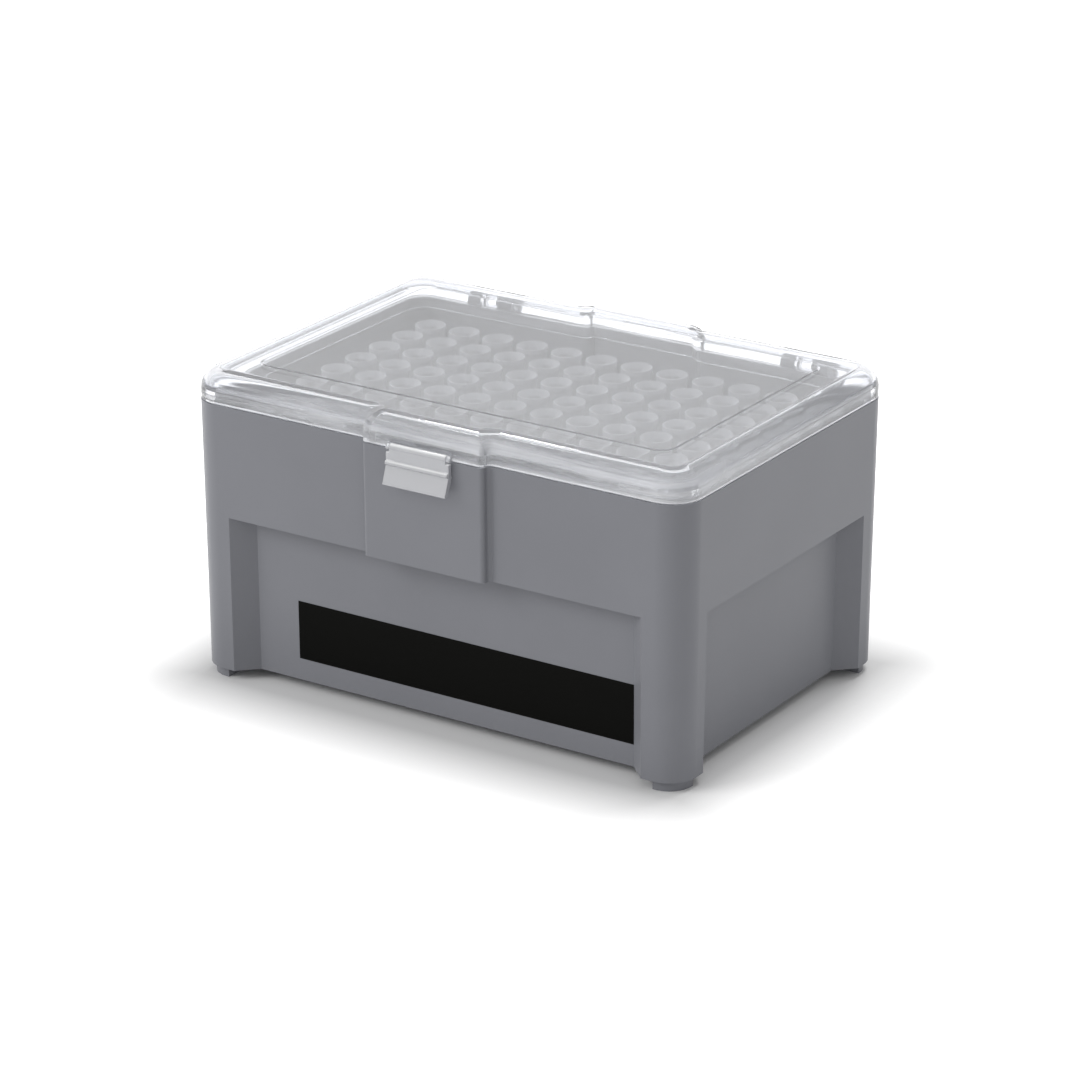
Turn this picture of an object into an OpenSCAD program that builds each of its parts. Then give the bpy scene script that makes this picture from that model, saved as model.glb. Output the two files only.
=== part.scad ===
// Box of pipette tips for the laboratory bench.
//
// A grey moulded base stands on four corner feet and holds a rack of tips, one in each hole.
// A clear lid closes it: two hinges at the back carry the lid, and a clear clip hangs on the
// front of the lid and reaches down over the base. Millimetres. The origin is under the middle
// of the box, at table level. +X is to the right along the long side, +Y to the back, +Z up.

/* [Tips] */
// Distance between the axes of neighbouring tips, both ways
tip_pitch = 9; // [8.6:0.1:11]
// Columns of tips, left to right
tip_columns = 12; // [8:1:14]
// Rows of tips, front to back
tip_rows = 8; // [6:1:12]
// Length of a tip
tip_length = 50.5; // [44:0.5:60]
// Diameter of the flared rim at a tip's mouth
tip_rim_diameter = 6.7; // [6.3:0.1:7.6]
// Diameter of the collar under the rim, which rests on the rack
tip_collar_diameter = 6; // [5.7:0.1:6.2]
// Diameter of a tip's body where it passes through the rack
tip_body_diameter = 5.3; // [4.6:0.1:5.5]
// Diameter of the straight bore in the mouth
tip_mouth_diameter = 5.1; // [4.4:0.1:5.2]
// Depth of the straight bore in the mouth
tip_mouth_depth = 4; // [2:0.1:5]
// Height of the flared rim
tip_rim_height = 1.1; // [0.5:0.1:2]
// How far a tip stands up above the rack
tip_collar_height = 6.2; // [5.2:0.1:9]
// Wall of the tapered part of a tip
tip_wall = 0.45; // [0.25:0.05:0.5]
// Length of the slender cone at a tip's end
tip_cone_length = 28; // [15:0.5:34]
// Diameter of the tip where the slender cone begins
tip_cone_diameter = 3.8; // [3:0.1:4.2]
// Outside diameter of the very end
tip_end_diameter = 1; // [0.8:0.05:1.5]
// Diameter of the hole in the very end
tip_end_bore = 0.5; // [0.3:0.05:0.6]

/* [Base] */
// From the outermost tip axis to the end of the box, at the rim
end_margin = 11.5; // [11:0.1:16]
// From the outermost tip axis to the front and back of the box, at the rim
side_margin = 10.75; // [10.4:0.05:16]
// Free height under the tips
under_tips = 4.9; // [1:0.1:15]
// How far the rim stands above the mouths of the tips
rim_over_tips = 3.1; // [2.8:0.1:8]
// Thickness of the moulded walls and floor
base_wall = 1.6; // [1.2:0.1:1.8]
// How much each side narrows downwards, in millimetres a millimetre
draft = 0.01; // [0.002:0.001:0.015]
// Radius of the upright corners at the rim
corner_radius = 7; // [6.5:0.1:9]
// Height of the full-width band under the rim
band_height = 24.9; // [18:0.1:32]
// Depth of the panels below the band
recess_depth = 4.2; // [2:0.1:4.5]
// Width of the corner pillars at the ends of the panels
pillar_width = 9.8; // [8.4:0.1:14]
// Height of the feet
foot_height = 2.2; // [1:0.1:5]
// Length and width of a foot
foot_size = 6; // [5:0.1:8]
// How far a foot is set in from the pillar above it
foot_inset = 1; // [0.5:0.1:1.5]

/* [Raised pads at front and back] */
// Width over the root of the pad
pad_width = 31.8; // [26:0.1:40]
// How far the pad stands out from the band
pad_proud = 2; // [1.4:0.1:3]
// Radius of the soft steps at the pad's sides
pad_radius = 1; // [0.5:0.05:1.2]

/* [Rack] */
// Thickness of the plate that carries the tips
plate_thickness = 1.6; // [1.2:0.1:3]
// Thickness of the skirt round the plate
skirt_thickness = 1.4; // [1:0.1:2]
// Gap between the rack and the wall of the base
rack_gap = 0.25; // [0.1:0.05:0.5]
// Gap round a tip's body in its hole
hole_gap = 0.1; // [0.05:0.01:0.12]

/* [Lid] */
// Height of the lid's rounded edge above its lower edge
lid_height = 6; // [5.5:0.1:12]
// Thickness of the lid
lid_wall = 1.6; // [1.2:0.1:1.8]
// Radius of the lid's upper edge
lid_edge_radius = 4.5; // [3.5:0.1:5]
// Height of the raised field on the lid
field_height = 0.75; // [0.4:0.05:1.2]
// From the outside of the lid to the raised field
field_margin = 10.3; // [9.4:0.1:14]
// Corner radius of the raised field
field_radius = 3.5; // [2:0.1:6]
// Gap between the lid and the rim it closes on
seat_gap = 0.2; // [0.1:0.05:0.4]
// How far the locating lip reaches into the base
lip_depth = 2.3; // [1:0.1:2.5]
// Thickness of the locating lip
lip_thickness = 1.1; // [0.8:0.1:1.3]
// Gap between the locating lip and the wall of the base
lip_gap = 0.2; // [0.15:0.05:0.4]

/* [Hinges] */
// From the middle of the box to the middle of a hinge
hinge_offset = 40.3; // [26:0.1:44]
// Radius of the hinge knuckles
knuckle_radius = 2.4; // [2:0.1:2.8]
// Width of a knuckle on the base
ear_width = 3.6; // [2:0.1:5]
// Width of the knuckle on the lid
knuckle_width = 4; // [2:0.1:6]
// Gap between neighbouring knuckles
knuckle_gap = 0.2; // [0.1:0.05:0.4]
// Radius of the pin moulded on the lid's knuckle
pin_radius = 1.1; // [0.8:0.05:1.3]
// Gap round the pin in its bore
pin_gap = 0.06; // [0.03:0.01:0.09]
// Gap between the knuckles and the walls in front of them
hinge_clearance = 0.3; // [0.2:0.05:0.6]
// Height of the hinge axis above the rim
hinge_rise = 0.3; // [0.2:0.05:0.6]
// How far the ears run down the back of the base
ear_drop = 6.5; // [5:0.1:12]

/* [Clip] */
// Width of the clip
clip_width = 15.4; // [12:0.1:20]
// Thickness of the clip
clip_thickness = 1.1; // [0.9:0.05:1.3]
// Radius of the bar that the clip hangs on
bar_radius = 0.75; // [0.7:0.05:0.9]
// Radius of the stubs at the ends of the bar
stub_radius = 0.42; // [0.3:0.02:0.5]
// Length of the stubs at the ends of the bar
stub_length = 0.8; // [0.5:0.1:1.4]
// Gap round a stub in its lug
stub_gap = 0.05; // [0.03:0.01:0.08]
// Height of the bar's axis above the rim
bar_rise = 0.9; // [0.85:0.05:1.4]
// Gap between the bar and the lid's pad
bar_gap = 0.15; // [0.1:0.05:0.3]
// Radius of the lugs on the lid that hold the bar
lug_radius = 0.95; // [0.85:0.05:1.05]
// Thickness of a lug
lug_thickness = 0.8; // [0.6:0.1:1.4]
// Gap between the bar and each lug
lug_gap = 0.1; // [0.08:0.01:0.3]
// Length of the upright part of the clip, below the bar's axis
clip_drop = 3.9; // [3.4:0.1:6]
// Height of the flared tab at the lower end of the clip
tab_height = 4; // [3:0.1:6]
// How far the tab flares outwards
tab_flare = 1.45; // [0.8:0.05:2.2]
// Radius of the ridge across the clip
ridge_radius = 0.55; // [0.4:0.05:0.7]
// Gap between the hook on the clip and the base's pad
hook_gap = 0.3; // [0.28:0.01:0.4]
// How far the catch stands out from the base's pad
catch_proud = 0.25; // [0.15:0.01:0.26]
// Height of the catch and of the hook under it
catch_height = 0.8; // [0.5:0.05:1.2]

/* [Label] */
// Height of the black band on the front panel
label_height = 13.2; // [6:0.1:18]
// Height of the band's lower edge above the table
label_rise = 7.1; // [4:0.1:12]
// From the left edge of the front panel to the band
label_indent = 10.4; // [4:0.1:40]
// Thickness of the band
label_thickness = 0.1; // [0.05:0.01:0.3]

/* [Hidden] */
$fn = 48;
overlap = 0.5;
lap = 0.1;

// The whole box, from the tips outwards
box_width = (tip_columns - 1) * tip_pitch + 2 * end_margin;
box_depth = (tip_rows - 1) * tip_pitch + 2 * side_margin;
floor_top = foot_height + base_wall;
tip_end_z = floor_top + under_tips;
mouth_z = tip_end_z + tip_length;
plate_top = mouth_z - tip_collar_height;
rim_z = mouth_z + rim_over_tips;
band_low = rim_z - band_height;
ledge_z = band_low + base_wall;
skirt_low = ledge_z + draft * (recess_depth + base_wall);
tilt = atan(draft);
corner_x = box_width / 2 - corner_radius;
corner_y = box_depth / 2 - corner_radius;

// Lid
lid_low = rim_z + seat_gap;
lid_shoulder = lid_low + lid_height;
lid_top = lid_shoulder + field_height;
lip_outer = base_wall + lip_gap;
lip_inner = lip_outer + lip_thickness;
inner_edge_radius = lid_edge_radius - lip_inner;
pad_centre = pad_width / 2;

// Hinges and clip
hinge_y = box_depth / 2 + hinge_clearance + knuckle_radius;
hinge_z = rim_z + hinge_rise;
pad_face = box_depth / 2 + pad_proud;
bar_y = -(pad_face + bar_gap + bar_radius);
bar_z = rim_z + bar_rise;
clip_back = bar_radius + bar_gap - clip_thickness / 2;
shoulder_drop = lug_radius + lug_gap;
bar_length = clip_width - 2 * stub_length;

function column_name(column) = str("tip_column_", column < 10 ? "0" : "", column);

// Radius of the base's upright corners at height z, for a surface set in by inset
function corner_at(z, inset) = corner_radius - inset - draft * (rim_z - z);

// The base's outer or inner block, with upright corners whose radius shrinks downwards
module drafted_block(inset, low, high) {
    r_low = corner_at(low, inset);
    r_high = corner_at(high, inset);
    rotate([90, 0, 0])
        linear_extrude(2 * corner_y, center = true)
            polygon([
                [-corner_x - r_low, low], [corner_x + r_low, low],
                [corner_x + r_high, high], [-corner_x - r_high, high]
            ]);
    rotate([90, 0, 90])
        linear_extrude(2 * corner_x, center = true)
            polygon([
                [-corner_y - r_low, low], [corner_y + r_low, low],
                [corner_y + r_high, high], [-corner_y - r_high, high]
            ]);
    for (x = [-corner_x, corner_x], y = [-corner_y, corner_y])
        translate([x, y, low])
            cylinder(h = high - low, r1 = r_low, r2 = r_high);
}

// Puts a plan on one face of the base: x along the face, y into it, z = 0 at the rim
module on_face(turn, reach) {
    rotate([0, 0, turn])
        translate([0, -reach, rim_z])
            rotate([tilt, 0, 0])
                children();
}

// Plan of the recess in a face, grown by the wall for the inside of the base
module recess_plan(half_length, grow) {
    mouth = half_length + grow * sqrt(2);
    depth = recess_depth + grow;
    polygon([
        [-mouth, -overlap], [mouth, -overlap], [mouth, 0], [mouth - depth, depth],
        [depth - mouth, depth], [-mouth, 0]
    ]);
}

module recesses(grow, top) {
    faces = [
        [0, box_depth / 2, box_width / 2], [180, box_depth / 2, box_width / 2],
        [90, box_width / 2, box_depth / 2], [-90, box_width / 2, box_depth / 2]
    ];
    for (face = faces)
        on_face(face[0], face[1])
            translate([0, 0, -rim_z - overlap])
                linear_extrude(top + overlap)
                    recess_plan(face[2] - pillar_width, grow);
}

// Plan of a raised pad, set in by inset, reaching depth into the wall
module pad_plan(inset, depth) {
    front = pad_proud - inset;
    edge = max(pad_radius - inset, 0);
    edge_x = pad_centre - 2 * pad_radius;
    difference() {
        translate([-pad_centre, -front])
            square([2 * pad_centre, front + depth]);
        for (side = [-1, 1]) {
            translate([side * pad_centre, -pad_radius])
                circle(pad_radius + inset);
            if (edge > 0)
                difference() {
                    translate([side > 0 ? edge_x : -pad_centre - overlap, -front - overlap])
                        square([pad_centre - edge_x + overlap, front + overlap - pad_radius]);
                    translate([side * edge_x, -pad_radius])
                        circle(edge);
                }
        }
    }
}

// Plan of one foot, with its outer corner rounded to follow the pillar
module foot_plan() {
    outer_x = corner_x + corner_at(foot_height, foot_inset);
    outer_y = corner_y + corner_at(foot_height, foot_inset);
    intersection() {
        translate([outer_x - foot_size, outer_y - foot_size])
            square(foot_size);
        union() {
            translate([corner_x, corner_y])
                circle(corner_at(foot_height, foot_inset));
            square([outer_x, corner_y]);
            square([corner_x, outer_y]);
        }
    }
}

module feet() {
    for (x = [0, 1], y = [0, 1])
        mirror([x, 0, 0])
            mirror([0, y, 0])
                linear_extrude(floor_top - lap)
                    foot_plan();
}

// Side view of a hinge ear: a round eye on a web that runs down the back of the base
module ear_outline() {
    root_y = box_depth / 2 - base_wall / 2;
    root_z = hinge_z - ear_drop;
    span_y = hinge_y - root_y;
    lean = atan2(ear_drop, span_y) - asin(knuckle_radius / norm([span_y, ear_drop]));
    translate([hinge_y, hinge_z])
        circle(knuckle_radius);
    polygon([
        [root_y, root_z], [root_y, rim_z - overlap], [hinge_y, rim_z - overlap],
        [hinge_y, hinge_z],
        [hinge_y + knuckle_radius * sin(lean), hinge_z - knuckle_radius * cos(lean)]
    ]);
}

// Extrudes a side view (y, z) along x, over width about middle
module across(middle, width) {
    translate([middle - width / 2, 0, 0])
        rotate([90, 0, 90])
            linear_extrude(width)
                children();
}

module ears() {
    step = (knuckle_width + ear_width) / 2 + knuckle_gap;
    for (hinge = [-hinge_offset, hinge_offset], side = [-step, step])
        across(hinge + side, ear_width)
            difference() {
                ear_outline();
                translate([hinge_y, hinge_z])
                    circle(pin_radius + pin_gap);
            }
}

// The rounded catch on the front pad, just above the hook of the clip
module catch() {
    radius = (pow(catch_height / 2, 2) + pow(catch_proud, 2)) / (2 * catch_proud);
    catch_z = bar_z - clip_drop + catch_height / 2 + lap;
    face_y = pad_face - draft * (rim_z - catch_z);
    translate([-bar_length / 2, 0, 0])
        across(bar_length / 2, bar_length)
            intersection() {
                translate([radius - catch_proud - face_y, catch_z])
                    circle(radius);
                translate([-face_y - catch_proud - lap, catch_z - catch_height])
                    square([catch_proud + lap + base_wall / 2, 2 * catch_height]);
            }
}

module base_box() {
    color("#84868b")
        difference() {
            union() {
                difference() {
                    union() {
                        drafted_block(0, foot_height, rim_z);
                        for (turn = [0, 180])
                            on_face(turn, box_depth / 2)
                                translate([0, 0, -band_height])
                                    linear_extrude(band_height)
                                        pad_plan(0, base_wall);
                    }
                    recesses(0, band_low);
                }
                feet();
                ears();
                catch();
            }
            difference() {
                drafted_block(base_wall, floor_top, rim_z + overlap);
                recesses(base_wall, ledge_z);
            }
            for (turn = [0, 180])
                on_face(turn, box_depth / 2)
                    translate([0, 0, -band_height + base_wall])
                        linear_extrude(band_height)
                            pad_plan(base_wall, 2 * base_wall);
        }
}

// A rectangle with round corners, centred on the origin
module rounded_rectangle(width, depth, radius) {
    square([width, depth - 2 * radius], center = true);
    square([width - 2 * radius, depth], center = true);
    for (x = [-1, 1], y = [-1, 1])
        translate([x * (width / 2 - radius), y * (depth / 2 - radius)])
            circle(radius);
}

// Plan of the rack's outside, set in by inset from the base's wall at the ledge
module rack_outline(inset) {
    radius = corner_at(ledge_z, base_wall) - inset;
    rounded_rectangle(2 * (corner_x + radius), 2 * (corner_y + radius), radius);
}

function tip_x(column) = (column - (tip_columns + 1) / 2) * tip_pitch;
function tip_y(row) = (row - (tip_rows + 1) / 2) * tip_pitch;

module rack_plate() {
    color("#9a9ca1") {
        translate([0, 0, plate_top - plate_thickness])
            linear_extrude(plate_thickness)
                difference() {
                    rack_outline(rack_gap);
                    for (column = [1:tip_columns], row = [1:tip_rows])
                        translate([tip_x(column), tip_y(row)])
                            circle(tip_body_diameter / 2 + hole_gap);
                }
        translate([0, 0, skirt_low])
            linear_extrude(plate_top - skirt_low - plate_thickness)
                difference() {
                    rack_outline(rack_gap);
                    rack_outline(rack_gap + skirt_thickness);
                }
    }
}

// One tip, standing on its end at z = 0
module tip() {
    seat = tip_length - tip_collar_height;
    collar = tip_collar_diameter / 2;
    rim = tip_rim_diameter / 2;
    flare = tip_length - tip_rim_height;
    mouth = tip_mouth_diameter / 2;
    rotate_extrude()
        polygon([
            [tip_end_bore / 2, 0], [tip_end_diameter / 2, 0],
            [tip_cone_diameter / 2, tip_cone_length], [tip_body_diameter / 2, seat - lap],
            [tip_body_diameter / 2, seat], [collar, seat], [collar, flare - rim + collar],
            [rim, flare], [rim, tip_length], [mouth, tip_length],
            [mouth, tip_length - tip_mouth_depth],
            [tip_body_diameter / 2 - tip_wall, seat - tip_wall],
            [tip_cone_diameter / 2 - tip_wall, tip_cone_length]
        ]);
}

module tip_column(column) {
    color("#d9dbdf")
        for (row = [1:tip_rows])
            translate([tip_x(column), tip_y(row), tip_end_z])
                tip();
}

// Side view (across, z) of a block with rounded upper edges
module edge_profile(reach, low, top, edge) {
    intersection() {
        translate([-reach, low])
            square([2 * reach, top - low]);
        union() {
            translate([-reach, low])
                square([2 * reach, top - edge - low]);
            translate([edge - reach, low])
                square([2 * (reach - edge), top - low]);
            for (side = [-1, 1])
                translate([side * (reach - edge), top - edge])
                    circle(edge);
        }
    }
}

// An upright corner of the lid, with the same rounded upper edge
module edge_corner(radius, low, top, edge) {
    rotate_extrude()
        intersection() {
            edge_profile(radius, low, top, edge);
            translate([0, low])
                square([radius, top - low]);
        }
}

// The hollow between a pad and the wall beside it: a post that flares with the rounded edge
module pad_hollow(radius, low, top, edge) {
    rotate_extrude()
        difference() {
            translate([0, low - overlap])
                square([radius + edge, top - low + 2 * overlap]);
            translate([radius, low - 2 * overlap])
                square([2 * edge, top - edge - low + 2 * overlap]);
            translate([radius + edge, top - edge])
                circle(edge);
        }
}

// The pads at front and back, over the same height as the block they stand on
module pad_block(inset, low, top, edge) {
    edge_x = pad_centre - 2 * pad_radius;
    centre_y = box_depth / 2 + pad_radius;
    round_off = max(pad_radius - inset, 0);
    difference() {
        across(0, 2 * pad_centre)
            edge_profile(pad_face - inset, low, top, edge);
        for (x = [-1, 1], y = [-1, 1])
            translate([x * pad_centre, y * centre_y, 0])
                pad_hollow(pad_radius + inset, low, top, edge);
        if (round_off > 0)
            for (x = [0, 1], y = [0, 1])
                mirror([x, 0, 0])
                    mirror([0, y, 0])
                        translate([0, 0, low - overlap])
                            linear_extrude(top - low + 2 * overlap)
                                difference() {
                                    translate([edge_x, centre_y])
                                        square(pad_face - centre_y + pad_radius);
                                    translate([edge_x, centre_y])
                                        circle(round_off);
                                }
    }
}

// The lid's outer or inner block: rounded corners and upper edges, with the two pads
module lid_block(inset, low, top, edge) {
    across(0, 2 * corner_x)
        edge_profile(box_depth / 2 - inset, low, top, edge);
    rotate([0, 0, 90])
        across(0, 2 * corner_y)
            edge_profile(box_width / 2 - inset, low, top, edge);
    for (x = [-corner_x, corner_x], y = [-corner_y, corner_y])
        translate([x, y, 0])
            edge_corner(corner_radius - inset, low, top, edge);
    pad_block(inset, low, top, edge);
}

// Plan of the lid and of its locating lip, set in by inset
module lid_plan(inset) {
    rounded_rectangle(box_width - 2 * inset, box_depth - 2 * inset, corner_radius - inset);
    for (turn = [0, 180])
        rotate([0, 0, turn])
            translate([0, -box_depth / 2])
                pad_plan(inset, inset + overlap);
}

module lid_shell() {
    lip_low = rim_z - lip_depth;
    difference() {
        union() {
            lid_block(0, lid_low, lid_shoulder, lid_edge_radius);
            translate([0, 0, lip_low])
                linear_extrude(lid_low + overlap - lip_low)
                    lid_plan(lip_outer);
            field(0, lid_shoulder - overlap, field_height + overlap);
        }
        lid_block(lip_inner, lip_low - overlap, lid_shoulder - lid_wall, inner_edge_radius);
        field(lid_wall / 2, lid_shoulder - lid_wall - overlap, field_height + overlap);
    }
}

// The raised field on top of the lid, or the pocket under it
module field(inset, low, height) {
    translate([0, 0, low])
        linear_extrude(height)
            rounded_rectangle(
                box_width - 2 * (field_margin + inset),
                box_depth - 2 * (field_margin + inset),
                field_radius
            );
}

module lid_knuckles() {
    pin_length = knuckle_width + 2 * ear_width;
    root_y = box_depth / 2 - lid_wall / 2;
    for (hinge = [-hinge_offset, hinge_offset]) {
        across(hinge, knuckle_width) {
            translate([hinge_y, hinge_z])
                circle(knuckle_radius - lap);
            polygon([
                [root_y, lid_low + overlap], [hinge_y, lid_low + overlap],
                [hinge_y, hinge_z + knuckle_radius - lap],
                [root_y, hinge_z + knuckle_radius - lap]
            ]);
        }
        across(hinge, pin_length)
            translate([hinge_y, hinge_z])
                circle(pin_radius);
    }
}

module lid_lugs() {
    root_y = -pad_face + lid_wall / 2;
    for (side = [-1, 1])
        across(side * (bar_length / 2 + lug_gap + lug_thickness / 2), lug_thickness)
            difference() {
                union() {
                    translate([bar_y, bar_z])
                        circle(lug_radius);
                    translate([bar_y, lid_low + lap])
                        square([root_y - bar_y, bar_z + lug_radius - lid_low - lap]);
                }
                translate([bar_y, bar_z])
                    circle(stub_radius + stub_gap);
            }
}

module lid() {
    color("#c9cbd0", 0.45) {
        lid_shell();
        lid_knuckles();
        lid_lugs();
    }
}

// Side view of the clip below its bar, about the bar's axis: y outwards is negative
module clip_outline(top) {
    outer = clip_back - clip_thickness;
    hook = bar_radius + bar_gap - hook_gap;
    flare = outer - tab_flare;
    foot = -clip_drop - tab_height;
    polygon([
        [outer, top], [clip_back, top], [clip_back, -clip_drop + catch_height / 2],
        [hook, -clip_drop], [clip_back, -clip_drop - catch_height],
        [flare + clip_thickness, foot], [flare, foot], [outer, -clip_drop]
    ]);
    translate([outer, -clip_drop + ridge_radius])
        circle(ridge_radius);
}

module latch() {
    color("#dadce0", 0.6)
        translate([0, bar_y, bar_z]) {
            across(0, bar_length)
                circle(bar_radius);
            across(0, bar_length + 2 * stub_length)
                circle(stub_radius);
            across(0, bar_length)
                clip_outline(0);
            across(0, clip_width)
                clip_outline(-shoulder_drop);
        }
}

module label_band() {
    panel_half = box_width / 2 - pillar_width - recess_depth;
    label_width = 2 * panel_half - label_indent;
    color("#131311")
        on_face(0, box_depth / 2)
            translate([
                -panel_half + label_indent,
                recess_depth - label_thickness,
                label_rise - rim_z
            ])
                cube([label_width, label_thickness, label_height]);
}

base_box();
rack_plate();
lid();
latch();
label_band();
for (column = [1:tip_columns])
    tip_column(column);
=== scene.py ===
"""Looks for a closed box of pipette tips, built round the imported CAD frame.

Grey moulded base with a black band, a rack of 96 tips, a clear lid on two hinges and a clear clip.
Sizes are in millimetres and become metres as each mesh is made. +X is right, +Y back, +Z up.
"""

import math

import bmesh
import bpy
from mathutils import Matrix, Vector


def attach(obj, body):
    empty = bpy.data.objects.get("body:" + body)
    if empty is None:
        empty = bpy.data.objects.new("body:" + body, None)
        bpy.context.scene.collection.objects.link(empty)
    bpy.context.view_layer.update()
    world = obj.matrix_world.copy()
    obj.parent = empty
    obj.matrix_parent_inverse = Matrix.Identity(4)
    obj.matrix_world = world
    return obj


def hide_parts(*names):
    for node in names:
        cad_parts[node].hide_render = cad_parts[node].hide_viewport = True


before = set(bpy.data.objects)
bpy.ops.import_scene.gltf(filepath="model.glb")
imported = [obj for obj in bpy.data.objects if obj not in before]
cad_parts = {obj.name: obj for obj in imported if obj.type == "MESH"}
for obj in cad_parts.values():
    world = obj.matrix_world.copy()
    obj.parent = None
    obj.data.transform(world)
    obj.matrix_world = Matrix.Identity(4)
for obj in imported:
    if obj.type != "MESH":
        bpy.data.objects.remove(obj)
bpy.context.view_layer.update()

MM = 0.001

# Cleaning of meshes: points closer than MERGE (in metres) become one, and a point on just two
# edges goes where they turn by less than LOOSE_TURN (in degrees)
MERGE = 1e-7
LOOSE_TURN = 3
FLAT_ANGLE = 0.2
SHARP_ANGLE = 35

# The camera, as the photograph was taken: what it looks at, from where, and through which lens
CAMERA_TARGET = Vector((0, 0, 0.0296))
CAMERA_DISTANCE = 0.889
CAMERA_AZIMUTH = 32.94
CAMERA_ELEVATION = 21.13
CAMERA_LENS = 138.6
SENSOR_WIDTH = 36
CLIP_START = 0.01

# Base, in millimetres
BOX_WIDTH = 122
BOX_DEPTH = 84.5
RIM_Z = 62.3
BEVEL_BASE = 0.25
BEVEL_RACK = 0.2
BEVEL_BAND = 0.03

# Tips
PITCH = 9
COLUMNS = 12
ROWS = 8
TIP_END_Z = 8.7
TIP_LENGTH = 50.5
TIP_COLLAR = 6.2
TIP_WAIST_Z = 28
TIP_SEGMENTS = 32

# Lid
CORNER_RADIUS = 7
PAD_CENTRE = 15.9
PAD_PROUD = 2
PAD_RADIUS = 1
PAD_EDGE_LEAST = 0.25
SEAT_GAP = 0.2
LID_LOW = RIM_Z + SEAT_GAP
LID_SHOULDER = LID_LOW + 6.6
FIELD_RISE = 0.15
FIELD_MARGIN = 10.3
FIELD_RADIUS = 3.5
FIELD_SLOPE = 0.6
FIELD_STEPS = 8
LID_WALL = 1.6
LEDGE_TOP = LID_LOW + 3
LEDGE_LOW = LID_LOW + 2.2
EDGE_RADIUS = 4.5
DECK_INSET = EDGE_RADIUS + 2
LIP_OUTER = 1.8
LIP_INNER = 2.9
LIP_LOW = RIM_Z - 2.3
SHELL_STEPS = 14

# How many steps each stretch of the lid's outline has
PAD_STEPS = 8
CURVE_STEPS = 12
FRONT_STEPS = 14
CORNER_STEPS = 24
SIDE_STEPS = 12

# Hinges
HINGE_X = 40.3
HINGE_Y = 44.95
HINGE_Z = 62.6
KNUCKLE_RADIUS = 2.3
KNUCKLE_WIDTH = 4
KNUCKLE_RAISED = 0.5
BEVEL_KNUCKLE = 0.2
EAR_WIDTH = 3.6
PIN_RADIUS = 1.1
BEVEL_PIN = 0.15

# The clip's bar, its stubs and the lugs that hold them
BAR_Y = -45.15
BAR_Z = 63.2
BAR_RADIUS = 0.75
BAR_LENGTH = 13.8
STUB_RADIUS = 0.42
STUB_LENGTH = 0.8
BEVEL_STUB = 0.08
LUG_RADIUS = 0.72
LUG_THICKNESS = 0.8
LUG_GAP = 0.1
LUG_RAISED = 0.1
BEVEL_BAR = 0.12

# The clip's plate, ridge and tab, measured from the middle of the bar
CLIP_WIDTH = 15.4
CLIP_THICKNESS = 1.1
CLIP_BACK = 0.35
CLIP_STATIONS = (-0.5, -0.45, -0.3, 0, 0.3, 0.45, 0.5)
PLATE_SET_BACK = 0.08
PLATE_TOP = 0.3
PLATE_LOW = -1.6
BEVEL_PLATE = 0.1
TAB_TOP = -1.1
TAB_BEND = -3.9
TAB_FOOT = -7.9
TAB_FLARE = 1.45
BEVEL_TAB = 0.2
HOOK_REACH = 0.6
HOOK_TOP = -3.5
HOOK_LOW = -4.7
RIDGE_Z = -3.35
RIDGE_RADIUS = 0.55
RIDGE_ROOM = 0.4
RIDGE_SHORTER = 0.1
BEVEL_RIDGE = 0.15

# Plastics: the lid's flow lines, and the direction towards which its haze grows, which paints its
# top and walls paler at the front right as painted light
FLOW_SCALE = 600
FLOW_DEPTH = 0.0004
FLOW_STRETCH = (0.04, 0.04, 1)
PAINTED_LIGHT_TOWARDS = (0.4, -0.9, 0)
PAINTED_LIGHT_REACH = 0.05
SHADOW_CLEAR = 0.88

# Floor and light: the floor glows towards white from LIFT_EDGE_REACH to LIFT_REACH (metres) away
# from the box and hardly at all near it, which paints part of the soft shadow round the box
FLOOR_SIZE = 8
FLOOR_ALBEDO = 0.8
LIFT_EDGE = 0.1
LIFT_EDGE_REACH = 0.003
LIFT_FAR = 1
LIFT_REACH = 0.035
WORLD_STRENGTH = 0.57
LAMP_AIM = (0, 0, 0.03)
CREST_AIM = (0, 0, 0.06)


# ---------------------------------------------------------------- geometry

def new_object(name, mesh):
    made = bpy.data.objects.new(name, mesh)
    bpy.context.scene.collection.objects.link(made)
    return made


def finish_mesh(name, work):
    """Turns a bmesh in millimetres into an object in metres, with smooth faces."""
    bmesh.ops.remove_doubles(work, verts=work.verts, dist=MERGE / MM)
    bmesh.ops.recalc_face_normals(work, faces=work.faces)
    bmesh.ops.scale(work, vec=(MM, MM, MM), verts=work.verts)
    mesh = bpy.data.meshes.new(name)
    work.to_mesh(mesh)
    work.free()
    mesh.shade_smooth()
    return new_object(name, mesh)


def rounded_path(corners, steps=6, closed=True):
    """A path through corners given as (a, b, radius), each turned into an arc of its radius."""
    path = []
    count = len(corners)
    for i, (a, b, radius) in enumerate(corners):
        here = Vector((a, b))
        if radius == 0 or (not closed and i in (0, count - 1)):
            path.append(here)
            continue
        before = (Vector(corners[i - 1][:2]) - here).normalized()
        after = (Vector(corners[(i + 1) % count][:2]) - here).normalized()
        half = before.angle(after) / 2
        reach = radius / math.tan(half)
        centre = here + (before + after).normalized() * (radius / math.sin(half))
        start = here + before * reach - centre
        end = here + after * reach - centre
        sweep = start.angle(end)
        for k in range(steps + 1):
            t = k / steps
            spread = math.sin((1 - t) * sweep) * start + math.sin(t * sweep) * end
            path.append(centre + spread / math.sin(sweep))
    return path


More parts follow.
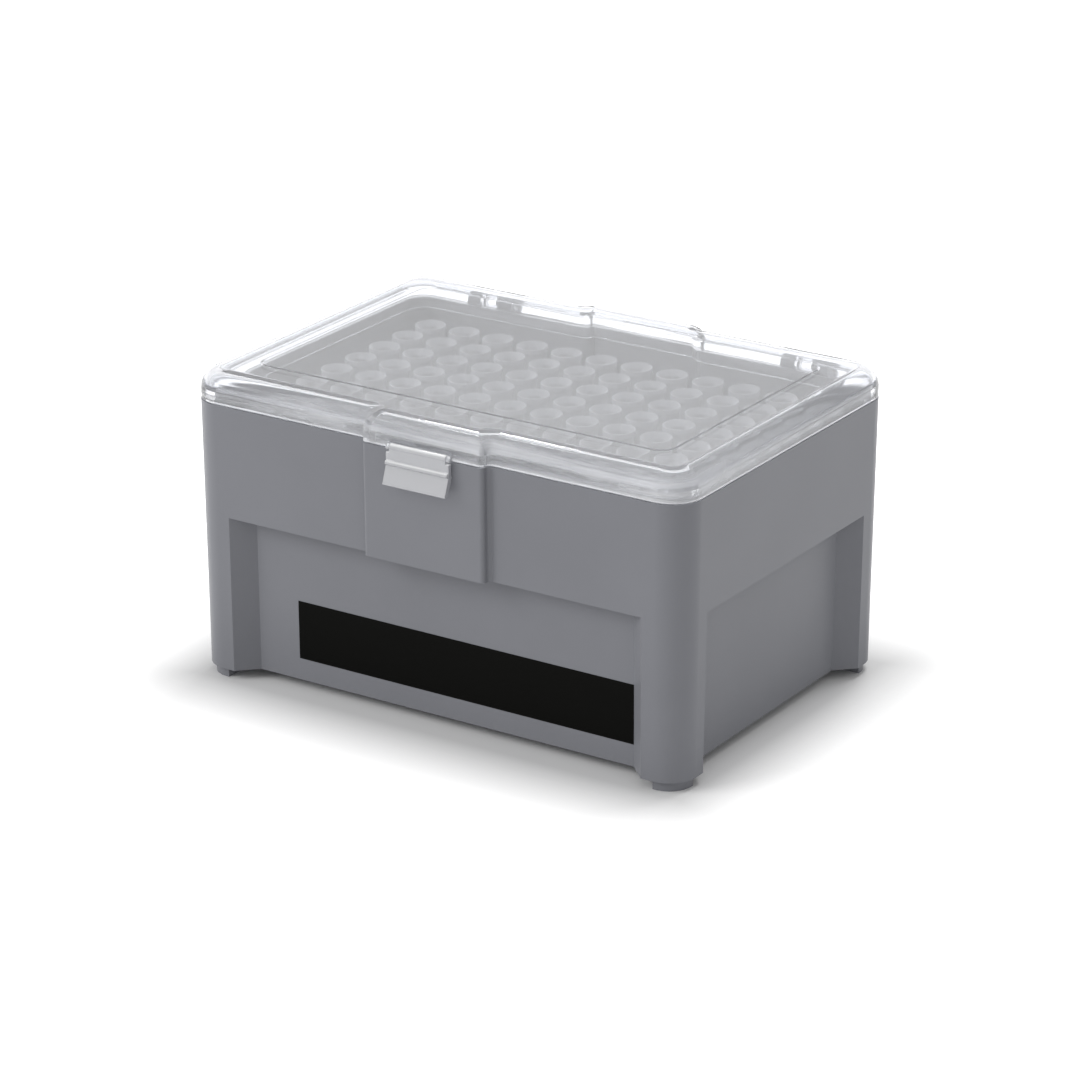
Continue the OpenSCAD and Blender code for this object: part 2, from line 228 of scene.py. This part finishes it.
def loft(rings, closed=False, caps=True):
    """A skin through rings of equally many points, closed on itself or capped at each end."""
    work = bmesh.new()
    rows = [[work.verts.new(p) for p in ring] for ring in rings]
    pairs = list(zip(rows, rows[1:])) + ([(rows[-1], rows[0])] if closed else [])
    for low, high in pairs:
        for i in range(len(low)):
            j = (i + 1) % len(low)
            work.faces.new((low[i], low[j], high[j], high[i]))
    if caps and not closed:
        work.faces.new(rows[0][::-1])
        work.faces.new(rows[-1])
    return work


def across(name, outline, middle, width, bevel, stations=(-0.5, 0.5)):
    """An outline (y, z) extruded along x about middle, through stations, with bevelled ends."""
    work = loft([[(middle + x * width, y, z) for y, z in outline] for x in stations])
    piece = finish_mesh(name, work)
    add_bevel(piece, bevel)
    return piece


def weigh_normals(piece):
    piece.modifiers.new("normals", "WEIGHTED_NORMAL").keep_sharp = True


def add_bevel(piece, width):
    """Breaks a piece's sharp edges by width, in millimetres."""
    bevel = piece.modifiers.new("edges", "BEVEL")
    bevel.width = width * MM
    bevel.segments = 3
    bevel.limit_method = "ANGLE"
    bevel.angle_limit = math.radians(SHARP_ANGLE)
    bevel.use_clamp_overlap = True
    bevel.miter_outer = "MITER_ARC"
    piece.modifiers.new("merged", "WELD").merge_threshold = MERGE
    weigh_normals(piece)


def combine(piece, others):
    """Joins others into piece as one solid."""
    for other in others:
        step = piece.modifiers.new("solid", "BOOLEAN")
        step.operation = "UNION"
        step.solver = "EXACT"
        step.object = other
    bake(piece)
    drop_loose_points(piece.data)
    for other in others:
        bpy.data.objects.remove(other)
    weigh_normals(piece)


def drop_loose_points(mesh):
    """Takes out the points that joining leaves on nearly straight edges, and closes pinholes."""
    work = bmesh.new()
    work.from_mesh(mesh)
    turn = math.radians(LOOSE_TURN)
    loose = [
        point for point in work.verts
        if len(point.link_edges) == 2 and point.calc_edge_angle(math.pi) < turn
    ]
    bmesh.ops.dissolve_verts(work, verts=loose)
    rims = [edge for edge in work.edges if edge.is_boundary]
    bmesh.ops.holes_fill(work, edges=rims, sides=3)
    work.to_mesh(mesh)
    work.free()


def bake(piece):
    """Applies the piece's modifiers to its mesh."""
    graph = bpy.context.evaluated_depsgraph_get()
    mesh = bpy.data.meshes.new_from_object(piece.evaluated_get(graph))
    piece.modifiers.clear()
    piece.data = mesh


def copy_of(node, name, bevel):
    """A copy of a CAD node with its flat faces merged and its sharp edges broken."""
    work = bmesh.new()
    work.from_mesh(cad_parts[node].data)
    bmesh.ops.remove_doubles(work, verts=work.verts, dist=MERGE)
    bmesh.ops.dissolve_limit(
        work, angle_limit=math.radians(FLAT_ANGLE), verts=work.verts, edges=work.edges
    )
    mesh = bpy.data.meshes.new(name)
    work.to_mesh(mesh)
    work.free()
    mesh.shade_smooth()
    piece = new_object(name, mesh)
    add_bevel(piece, bevel)
    return piece


# ---------------------------------------------------------------- lid outlines

def circle_arc(centre, radius, start, end, steps):
    """Points on an arc, from start to end in degrees."""
    points = []
    for k in range(steps + 1):
        a = math.radians(start + (end - start) * k / steps)
        points.append((centre[0] + radius * math.cos(a), centre[1] + radius * math.sin(a)))
    return points


def full_circle(centre, radius, steps):
    return circle_arc(centre, radius, 0, 360, steps)[:-1]


def straight(start, end, steps):
    """Points between start and end, without either end."""
    return [
        (start[0] + (end[0] - start[0]) * k / steps, start[1] + (end[1] - start[1]) * k / steps)
        for k in range(1, steps)
    ]


def all_quarters(quarter):
    """The whole outline from its front right quarter, which runs from (0, -y) to (x, 0)."""
    right = quarter + [(x, -y) for x, y in reversed(quarter[:-1])]
    left = [(-x, y) for x, y in reversed(right[1:-1])]
    return right + left


def pad_quarter(inset):
    """The front right quarter of the lid's plan, set in by inset."""
    wall = BOX_DEPTH / 2
    edge = max(PAD_RADIUS - inset, PAD_EDGE_LEAST)
    face_y = -(wall + PAD_PROUD - inset)
    hollow = (PAD_CENTRE, -(wall + PAD_RADIUS))
    crest = (PAD_CENTRE - 2 * math.sqrt(inset + edge), face_y + edge)
    lean = math.degrees(math.atan2(hollow[1] - crest[1], hollow[0] - crest[0]))
    corner_x = BOX_WIDTH / 2 - CORNER_RADIUS
    corner_y = BOX_DEPTH / 2 - CORNER_RADIUS
    main = CORNER_RADIUS - inset
    quarter = [(0, face_y)]
    quarter += straight((0, face_y), (crest[0], face_y), PAD_STEPS)
    quarter += circle_arc(crest, edge, -90, lean, CURVE_STEPS)
    quarter += circle_arc(hollow, PAD_RADIUS + inset, 180 + lean, 90, CURVE_STEPS)[1:]
    quarter += straight((PAD_CENTRE, inset - wall), (corner_x, inset - wall), FRONT_STEPS)
    quarter += circle_arc((corner_x, -corner_y), main, -90, 0, CORNER_STEPS)
    quarter += straight((corner_x + main, -corner_y), (corner_x + main, 0), SIDE_STEPS)
    return quarter + [(corner_x + main, 0)]


def pad_outline(inset):
    """The lid's plan, set in by inset: round corners, and a pad at front and back."""
    return all_quarters(pad_quarter(inset))


def field_outline(margin):
    """The raised field's plan, whose points lie beside those of the lid's plan."""
    end_x = BOX_WIDTH / 2 - margin
    end_y = BOX_DEPTH / 2 - margin
    corner = (end_x - FIELD_RADIUS, FIELD_RADIUS - end_y)
    squeeze = corner[0] / (BOX_WIDTH / 2 - CORNER_RADIUS)
    front = pad_quarter(DECK_INSET)[:PAD_STEPS + 2 * CURVE_STEPS + FRONT_STEPS]
    quarter = [(x * squeeze, -end_y) for x, y in front]
    quarter += circle_arc(corner, FIELD_RADIUS, -90, 0, CORNER_STEPS)
    quarter += straight((end_x, corner[1]), (end_x, 0), SIDE_STEPS)
    return all_quarters(quarter + [(end_x, 0)])


def lid_shell():
    """The lid as one closed skin, from the middle of its top, over the edge and back inside."""
    under = LID_SHOULDER - LID_WALL
    raised = []
    for k in range(FIELD_STEPS + 1):
        t = 1 - k / FIELD_STEPS
        inset = FIELD_MARGIN + (t - 0.5) * FIELD_SLOPE
        raised.append((inset, LID_SHOULDER + FIELD_RISE * t * t * (3 - 2 * t)))
    outside = rounded_path([
        (DECK_INSET, LID_SHOULDER, 0), (0, LID_SHOULDER, EDGE_RADIUS), (0, LID_LOW, 0.2),
        (LIP_OUTER, LID_LOW, 0.15), (LIP_OUTER, LIP_LOW, 0.35), (LIP_INNER, LIP_LOW, 0.25),
        (LIP_INNER, LEDGE_LOW, 0.4), (LID_WALL, LEDGE_TOP, 0.6),
        (LID_WALL, under, EDGE_RADIUS - LID_WALL), (DECK_INSET, under, 0),
    ], steps=SHELL_STEPS, closed=False)
    rings = [[(x, y, z) for x, y in field_outline(s)] for s, z in raised]
    rings += [[(x, y, z) for x, y in pad_outline(s)] for s, z in outside]
    rings.append([(x, y, under) for x, y in field_outline(FIELD_MARGIN)])
    return finish_mesh("lid_shell", loft(rings))


def knuckle(name, middle):
    """The lid's part of a hinge, rooted in its rear wall."""
    root_y = BOX_DEPTH / 2 - LID_WALL / 2
    low = LID_LOW + KNUCKLE_RAISED
    start = 180 + math.degrees(math.asin((HINGE_Z - low) / KNUCKLE_RADIUS))
    outline = [(root_y, low)]
    outline += circle_arc((HINGE_Y, HINGE_Z), KNUCKLE_RADIUS, start, 450, 40)
    outline += [(root_y, HINGE_Z + KNUCKLE_RADIUS)]
    return across(name, outline, middle, KNUCKLE_WIDTH, BEVEL_KNUCKLE)


def pin(name, middle):
    outline = full_circle((HINGE_Y, HINGE_Z), PIN_RADIUS, 32)
    return across(name, outline, middle, KNUCKLE_WIDTH + 2 * EAR_WIDTH, BEVEL_PIN)


def lug(name, side):
    """One of the two lugs on the lid's front pad, beside the clip's bar."""
    root_y = -(BOX_DEPTH / 2 + PAD_PROUD) + LID_WALL / 2
    middle = side * (BAR_LENGTH / 2 + LUG_GAP + LUG_THICKNESS / 2)
    top = BAR_Z + LUG_RADIUS
    low = LID_LOW + LUG_RAISED
    end = 360 - math.degrees(math.asin((BAR_Z - low) / LUG_RADIUS))
    outline = [(root_y, top)]
    outline += circle_arc((BAR_Y, BAR_Z), LUG_RADIUS, 90, end, 30)
    outline += [(root_y, low)]
    return across(name, outline, middle, LUG_THICKNESS, BEVEL_BAR)


lid = lid_shell()
lid.name = "lid_clear"
combine(lid, [
    *[knuckle("knuckle", side * HINGE_X) for side in (-1, 1)],
    *[pin("pin", side * HINGE_X) for side in (-1, 1)],
    *[lug("lug", side) for side in (-1, 1)],
])


# ---------------------------------------------------------------- clip

def filled(path, most=0.5):
    """A closed path with points added so that none are more than most apart."""
    points = []
    for start, end in zip(path, path[1:] + path[:1]):
        start, end = Vector(start), Vector(end)
        count = max(1, math.ceil((end - start).length / most))
        points += [start.lerp(end, k / count) for k in range(count)]
    return points


def clip():
    """The clip: a round bar on two stubs, a plate that reaches down, a ridge and a flared tab."""
    outer = CLIP_BACK - CLIP_THICKNESS
    face = outer + PLATE_SET_BACK
    flare = outer - TAB_FLARE
    axis = (BAR_Y, BAR_Z)

    def place(points):
        return [(BAR_Y + y, BAR_Z + z) for y, z in filled(points)]

    plate = rounded_path([
        (face, PLATE_TOP, 0), (CLIP_BACK, PLATE_TOP, 0),
        (CLIP_BACK, PLATE_LOW, 0), (face, PLATE_LOW, 0),
    ])
    tab = rounded_path([
        (face, TAB_TOP, 0.12), (CLIP_BACK, TAB_TOP, 0.12), (CLIP_BACK, HOOK_TOP, 0.1),
        (HOOK_REACH, TAB_BEND, 0.12), (CLIP_BACK, HOOK_LOW, 0.2),
        (flare + CLIP_THICKNESS, TAB_FOOT, 0.25), (flare, TAB_FOOT, 0.25),
        (outer, TAB_BEND, 0.4), (outer, RIDGE_Z, 0.1), (face, RIDGE_Z + RIDGE_ROOM, 0.1),
    ], steps=5)
    ridge = full_circle((outer, RIDGE_Z), RIDGE_RADIUS, 32)
    stub = full_circle(axis, STUB_RADIUS, 24)
    bar = across(
        "latch_clear", full_circle(axis, BAR_RADIUS, 40), 0, BAR_LENGTH, BEVEL_BAR
    )
    stubs = across("stub", stub, 0, BAR_LENGTH + 2 * STUB_LENGTH, BEVEL_STUB)
    ridge_width = CLIP_WIDTH - RIDGE_SHORTER
    combine(bar, [
        across("plate", place(plate), 0, BAR_LENGTH, BEVEL_PLATE, CLIP_STATIONS),
        across("tab", place(tab), 0, CLIP_WIDTH, BEVEL_TAB, CLIP_STATIONS),
        across("ridge", place(ridge), 0, ridge_width, BEVEL_RIDGE, CLIP_STATIONS),
        stubs,
    ])
    return bar


latch = clip()


# ---------------------------------------------------------------- tips

def tip_profile():
    """Half of one tip's section as (radius, z), from the hole in its end, up and back down."""
    top = TIP_LENGTH
    seat = top - TIP_COLLAR
    return rounded_path([
        (0.25, 0, 0), (0.5, 0, 0), (1.9, TIP_WAIST_Z, 0), (2.65, seat, 0), (3.05, seat, 0.12),
        (3.15, top - 1.6, 0.8), (3.45, top - 1.1, 0.3), (3.45, top, 0.1),
        (3.15, top, 0.1), (2.55, top - 1.2, 0.4), (2.55, top - 4, 0.3),
        (2.2, seat - 0.45, 0), (1.45, TIP_WAIST_Z, 0),
    ], steps=3)


def tip_column(column):
    """The eight tips of one column, counted from 1 at the left, as one piece."""
    work = bmesh.new()
    profile = tip_profile()
    x0 = (column - (COLUMNS + 1) / 2) * PITCH
    for row in range(1, ROWS + 1):
        y0 = (row - (ROWS + 1) / 2) * PITCH
        rings = []
        for radius, z in profile:
            ring = []
            for k in range(TIP_SEGMENTS):
                a = 2 * math.pi * k / TIP_SEGMENTS
                ring.append(work.verts.new((
                    x0 + radius * math.cos(a), y0 + radius * math.sin(a), TIP_END_Z + z
                )))
            rings.append(ring)
        for low, high in zip(rings, rings[1:] + rings[:1]):
            for k in range(TIP_SEGMENTS):
                j = (k + 1) % TIP_SEGMENTS
                work.faces.new((low[k], low[j], high[j], high[k]))
    piece = finish_mesh(f"tips_{column:02d}", work)
    weigh_normals(piece)
    return piece


tips = [tip_column(column) for column in range(1, COLUMNS + 1)]
base = copy_of("base_box", "base_grey", BEVEL_BASE)
rack = copy_of("rack_plate", "rack_grey", BEVEL_RACK)
band = copy_of("label_band", "band_black", BEVEL_BAND)


# ---------------------------------------------------------------- materials

def shader(name):
    material = bpy.data.materials.new(name)
    material.use_nodes = True
    nodes = material.node_tree.nodes
    return material, nodes, material.node_tree.links, nodes["Principled BSDF"]


def noise(nodes, links, scale, detail=4, stretch=(1, 1, 1)):
    """Noise fixed to the object, with scale in waves a metre."""
    place = nodes.new("ShaderNodeTexCoord")
    mapping = nodes.new("ShaderNodeMapping")
    mapping.inputs["Scale"].default_value = stretch
    made = nodes.new("ShaderNodeTexNoise")
    made.inputs["Scale"].default_value = scale
    made.inputs["Detail"].default_value = detail
    links.new(place.outputs["Object"], mapping.inputs["Vector"])
    links.new(mapping.outputs["Vector"], made.inputs["Vector"])
    return made.outputs["Fac"]


def ramp(nodes, links, source, stops):
    """A colour that goes through stops, given as (position, colour), with source."""
    made = nodes.new("ShaderNodeValToRGB")
    elements = made.color_ramp.elements
    for element, (position, colour) in zip(elements, (stops[0], stops[-1])):
        element.color = (*colour, 1)
        element.position = position
    for position, colour in stops[1:-1]:
        elements.new(position).color = (*colour, 1)
    links.new(source, made.inputs["Fac"])
    return made.outputs["Color"]


def spread(nodes, links, source, low, high, start=0, end=1):
    """A number that goes from low to high as source goes from start to end."""
    made = nodes.new("ShaderNodeMapRange")
    made.inputs["From Min"].default_value = start
    made.inputs["From Max"].default_value = end
    made.inputs["To Min"].default_value = low
    made.inputs["To Max"].default_value = high
    links.new(source, made.inputs["Value"])
    return made.outputs["Result"]


def fill_inputs(links, made, values):
    """Gives a node's inputs, in order, a socket to link to or a constant each."""
    for socket, value in zip(made.inputs, values):
        if isinstance(value, bpy.types.NodeSocket):
            links.new(value, socket)
        else:
            socket.default_value = value


def calculate(nodes, links, operation, *values):
    """A Math node's result on values."""
    made = nodes.new("ShaderNodeMath")
    made.operation = operation
    fill_inputs(links, made, values)
    return made.outputs[0]


def calculate_vector(nodes, links, operation, *values, result="Vector"):
    """A Vector Math node's result on values."""
    made = nodes.new("ShaderNodeVectorMath")
    made.operation = operation
    fill_inputs(links, made, values)
    return made.outputs[result]


def object_normal(nodes, links):
    """The X, Y and Z of the normal in the piece's own frame."""
    place = nodes.new("ShaderNodeTexCoord")
    split = nodes.new("ShaderNodeSeparateXYZ")
    links.new(place.outputs["Normal"], split.inputs["Vector"])
    return split.outputs


def bump(nodes, links, source, strength, distance):
    made = nodes.new("ShaderNodeBump")
    made.inputs["Strength"].default_value = strength
    made.inputs["Distance"].default_value = distance
    links.new(source, made.inputs["Height"])
    return made.outputs["Normal"]


def moulded_plastic(name, colour, rough, grain=0.00001):
    """Satin injection-moulded plastic: faint flow in the colour, fine grain and a soft gloss."""
    material, nodes, links, surface = shader(name)
    cloud = noise(nodes, links, 35, 3)
    fine = noise(nodes, links, 2600, 2)
    low = [c * 0.97 for c in colour]
    high = [min(1, c * 1.03) for c in colour]
    tint = ramp(nodes, links, cloud, [(0.3, low), (0.7, high)])
    links.new(tint, surface.inputs["Base Color"])
    links.new(spread(nodes, links, fine, rough - 0.05, rough + 0.05), surface.inputs["Roughness"])
    links.new(bump(nodes, links, fine, 0.25, grain), surface.inputs["Normal"])
    surface.inputs["Specular IOR Level"].default_value = 0.2
    return material


def frosted(nodes, links, rough, haze, frost, roughness, relief):
    """The roughness, clarity and relief of a clear box with frosted, streaked walls, and painted
    light in its haze: paler streaks on the walls and a paler front right.
    """
    side_rough, side_haze, painted_light_haze = frost
    normal = object_normal(nodes, links)
    upright = calculate(nodes, links, "ABSOLUTE", normal["Z"])
    sides = spread(nodes, links, upright, 1, 0, 0.6, 0.9)
    roughness = calculate(nodes, links, "MULTIPLY_ADD", sides, side_rough - rough, roughness)

    # Painted light: the haze grows towards the front right, so the top is paler there and clearer
    # at the back left
    place = nodes.new("ShaderNodeTexCoord").outputs["Object"]
    painted_light_side = calculate_vector(
        nodes, links, "DOT_PRODUCT", place, PAINTED_LIGHT_TOWARDS, result="Value"
    )
    top = spread(nodes, links, painted_light_side, 1 - haze, 1 - painted_light_haze, -PAINTED_LIGHT_REACH, PAINTED_LIGHT_REACH)

    long_walls = calculate(nodes, links, "ABSOLUTE", normal["Y"])
    facing = spread(nodes, links, long_walls, 0.05, 1)
    flow = noise(nodes, links, FLOW_SCALE, 2, FLOW_STRETCH)
    # Painted light: the flow noise also streaks the walls' haze, painting paler and clearer bands
    # like those that refraction makes in thick walls; the same noise bumps the walls below
    painted_streaks = spread(nodes, links, flow, -0.8, 0.8, 0.35, 0.65)
    varied = calculate(nodes, links, "MULTIPLY_ADD", painted_streaks, facing, 1)
    # Painted light: the walls' haze also grows towards the front right, so they are paler there
    wall_haze_to_light = spread(nodes, links, painted_light_side, -0.5 * side_haze, -1.5 * side_haze, 0, PAINTED_LIGHT_REACH)
    walls = calculate(nodes, links, "MULTIPLY_ADD", varied, wall_haze_to_light, 1)

    blend = nodes.new("ShaderNodeMix")
    links.new(sides, blend.inputs["Factor"])
    links.new(top, blend.inputs["A"])
    links.new(walls, blend.inputs["B"])
    lines = bump(nodes, links, flow, 1, FLOW_DEPTH)
    strength = calculate(nodes, links, "MULTIPLY", sides, facing)
    links.new(strength, lines.node.inputs["Strength"])
    links.new(relief, lines.node.inputs["Normal"])
    return roughness, blend.outputs["Result"], lines


def clear_plastic(name, colour, rough, haze, frost=None):
    """Clear polystyrene: it refracts, is a little hazy, and lets the lamps' light through.

    frost is the roughness and haze of the upright walls, which have flow lines along them, and the
    haze of the top at its front right. The haze grows towards the front right as painted light, so
    the top and walls are paler there and clearer at the back left.
    """
    material, nodes, links, surface = shader(name)
    cloud = noise(nodes, links, 60, 2)
    relief = bump(nodes, links, cloud, 0.1, 0.00002)
    roughness = spread(nodes, links, cloud, rough * 0.7, rough * 1.3)
    surface.inputs["Base Color"].default_value = (*colour, 1)
    surface.inputs["IOR"].default_value = 1.5
    surface.inputs["Transmission Weight"].default_value = 1 - haze
    if frost:
        roughness, clarity, relief = frosted(
            nodes, links, rough, haze, frost, roughness, relief
        )
        links.new(clarity, surface.inputs["Transmission Weight"])
    links.new(roughness, surface.inputs["Roughness"])
    links.new(relief, surface.inputs["Normal"])

    shadow = nodes.new("ShaderNodeBsdfTransparent")
    shadow.inputs["Color"].default_value = (SHADOW_CLEAR, SHADOW_CLEAR, SHADOW_CLEAR, 1)
    path = nodes.new("ShaderNodeLightPath")
    mix = nodes.new("ShaderNodeMixShader")
    links.new(path.outputs["Is Shadow Ray"], mix.inputs["Fac"])
    links.new(surface.outputs["BSDF"], mix.inputs[1])
    links.new(shadow.outputs["BSDF"], mix.inputs[2])
    links.new(mix.outputs["Shader"], nodes["Material Output"].inputs["Surface"])
    return material


def paint_light_by_tilt(material, under, upright, leaning, top):
    """Paints light and shade into a thin translucent piece's colour by how far each face tilts up,
    in its own frame: faces that look up are painted pale, as if lit from above, and faces that
    look down are painted dark, as if in shade.
    """
    nodes = material.node_tree.nodes
    links = material.node_tree.links
    tilt = spread(nodes, links, object_normal(nodes, links)["Z"], 0, 1, -1, 1)
    colour = ramp(
        nodes, links, tilt, [(0.3, under), (0.5, upright), (0.66, leaning), (0.9, top)]
    )
    links.new(colour, nodes["Principled BSDF"].inputs["Base Color"])


def tip_plastic(name):
    """Natural polypropylene: whitish, waxy and partly see-through."""
    material, nodes, links, surface = shader(name)
    cloud = noise(nodes, links, 180, 3)
    low = (0.46, 0.465, 0.485)
    high = (0.52, 0.525, 0.545)
    tint = ramp(nodes, links, cloud, [(0.3, low), (0.7, high)])
    links.new(tint, surface.inputs["Base Color"])
    links.new(spread(nodes, links, cloud, 0.28, 0.4), surface.inputs["Roughness"])
    surface.inputs["Alpha"].default_value = 0.75
    return material


grey = moulded_plastic("base_plastic", (0.218, 0.222, 0.243), 0.38)
rack_grey = moulded_plastic("rack_plastic", (0.25, 0.254, 0.272), 0.42)
black = moulded_plastic("band_print", (0.0045, 0.0045, 0.004), 0.55, 0.000004)
black.node_tree.nodes["Principled BSDF"].inputs["Specular IOR Level"].default_value = 0.03
lid_clear = clear_plastic("lid_plastic", (0.93, 0.94, 0.97), 0.03, 0.02, (0.14, 0.19, 0.12))
clip_clear = clear_plastic("clip_plastic", (0.5, 0.507, 0.54), 0.1, 0.8)
# Painted light and shade on the clip: its upward faces are painted pale, as if lit from above, and
# its downward faces dark, as if shaded
paint_light_by_tilt(
    clip_clear, (0.3, 0.305, 0.33), (0.44, 0.447, 0.475), (0.56, 0.565, 0.59), (0.92, 0.925, 0.935)
)
clip_surface = clip_clear.node_tree.nodes["Principled BSDF"]
clip_surface.inputs["Coat Weight"].default_value = 1
clip_surface.inputs["Coat Roughness"].default_value = 0.07
clip_surface.inputs["Coat IOR"].default_value = 1.6
natural = tip_plastic("tip_plastic")


def dress(piece, material, body, slot, *nodes):
    """Paints a piece, hangs it on its body and hides the CAD nodes it stands for."""
    piece.data.materials.clear()
    piece.data.materials.append(material)
    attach(piece, body)
    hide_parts(*nodes)


dress(base, grey, "base", "grey_plastic", "base_box")
dress(rack, rack_grey, "base", "rack_plastic", "rack_plate")
dress(band, black, "base", "black_print", "label_band")
dress(lid, lid_clear, "lid", "clear_plastic", "lid")
dress(latch, clip_clear, "latch", "clip_plastic", "latch")
for number, piece in enumerate(tips, start=1):
    dress(piece, natural, "base", "tip_plastic", f"tip_column_{number:02d}")


# ---------------------------------------------------------------- floor, light and camera

def seen_directly(nodes, links):
    """1 for camera, glossy and transmission rays, else 0."""
    rays = nodes.new("ShaderNodeLightPath").outputs
    seen = calculate(nodes, links, "MAXIMUM", rays["Is Camera Ray"], rays["Is Glossy Ray"])
    return calculate(nodes, links, "MAXIMUM", seen, rays["Is Transmission Ray"])


def floor_lift(nodes, links):
    """How far the floor glows towards white, by its distance from the box's outline: hardly at all
    near the box, which paints part of the soft shadow round it.
    """
    place = nodes.new("ShaderNodeTexCoord").outputs["Object"]
    folded = calculate_vector(nodes, links, "ABSOLUTE", place)
    corner = (BOX_WIDTH / 2 * MM, BOX_DEPTH / 2 * MM, 0)
    past = calculate_vector(nodes, links, "SUBTRACT", folded, corner)
    outside = calculate_vector(nodes, links, "MAXIMUM", past, (0, 0, 0))
    reach = calculate_vector(nodes, links, "LENGTH", outside, result="Value")
    share = spread(nodes, links, reach, 0, 1, 0, LIFT_REACH)
    return ramp(nodes, links, share, [
        (0, (0, 0, 0)),
        (LIFT_EDGE_REACH / LIFT_REACH, (LIFT_EDGE, LIFT_EDGE, LIFT_EDGE)),
        (1, (LIFT_FAR, LIFT_FAR, LIFT_FAR)),
    ])


floor = new_object("floor", bpy.data.meshes.new("floor"))
half = FLOOR_SIZE / 2
floor.data.from_pydata(
    [(-half, -half, 0), (half, -half, 0), (half, half, 0), (-half, half, 0)], [], [(0, 1, 2, 3)]
)

material, nodes, links, surface = shader("floor_pale")
nodes.remove(surface)
diffuse = nodes.new("ShaderNodeBsdfDiffuse")
diffuse.inputs["Color"].default_value = (FLOOR_ALBEDO, FLOOR_ALBEDO, FLOOR_ALBEDO, 1)
lift = nodes.new("ShaderNodeEmission")
gain = calculate(
    nodes, links, "MULTIPLY", seen_directly(nodes, links), floor_lift(nodes, links)
)
links.new(gain, lift.inputs["Strength"])
both = nodes.new("ShaderNodeAddShader")
links.new(diffuse.outputs["BSDF"], both.inputs[0])
links.new(lift.outputs["Emission"], both.inputs[1])
links.new(both.outputs["Shader"], nodes["Material Output"].inputs["Surface"])
floor.data.materials.append(material)

world = bpy.data.worlds.new("studio")
bpy.context.scene.world = world
world.use_nodes = True
nodes = world.node_tree.nodes
links = world.node_tree.links
sky = nodes["Background"]
sky.inputs["Color"].default_value = (1, 1, 1, 1)
level = spread(nodes, links, seen_directly(nodes, links), WORLD_STRENGTH, 1)
links.new(level, sky.inputs["Strength"])


def area_lamp(name, place, aim, size, power, glossy=False):
    """A round lamp that highlights and clear plastic show only if it is glossy."""
    lamp = bpy.data.objects.new(name, bpy.data.lights.new(name, "AREA"))
    lamp.data.shape = "DISK"
    lamp.data.size = size
    lamp.data.energy = power
    lamp.location = place
    lamp.visible_glossy = glossy
    lamp.visible_transmission = glossy
    lamp.rotation_mode = "QUATERNION"
    lamp.rotation_quaternion = (Vector(place) - Vector(aim)).to_track_quat("Z", "Y")
    bpy.context.scene.collection.objects.link(lamp)
    return lamp


area_lamp("key", (-0.85, -0.95, 0.75), LAMP_AIM, 0.8, 8)
area_lamp("back", (0.07, 0.55, 1.3), LAMP_AIM, 0.6, 7)
crest = area_lamp("crest", (-0.6, 0.36, 1.0), CREST_AIM, 0.08, 0.5, glossy=True)
crest.visible_diffuse = False

azimuth = math.radians(CAMERA_AZIMUTH)
elevation = math.radians(CAMERA_ELEVATION)
towards = Vector((
    math.sin(azimuth) * math.cos(elevation),
    -math.cos(azimuth) * math.cos(elevation),
    math.sin(elevation),
))
camera = bpy.data.objects.new("camera", bpy.data.cameras.new("camera"))
camera.data.lens = CAMERA_LENS
camera.data.sensor_width = SENSOR_WIDTH
camera.data.clip_start = CLIP_START
camera.location = CAMERA_TARGET + towards * CAMERA_DISTANCE
camera.rotation_mode = "QUATERNION"
camera.rotation_quaternion = towards.to_track_quat("Z", "Y")
bpy.context.scene.collection.objects.link(camera)
bpy.context.scene.camera = camera

bpy.context.scene.view_settings.view_transform = "Standard"
cycles = bpy.context.scene.cycles
cycles.max_bounces = 20
cycles.transmission_bounces = 16
cycles.transparent_max_bounces = 24
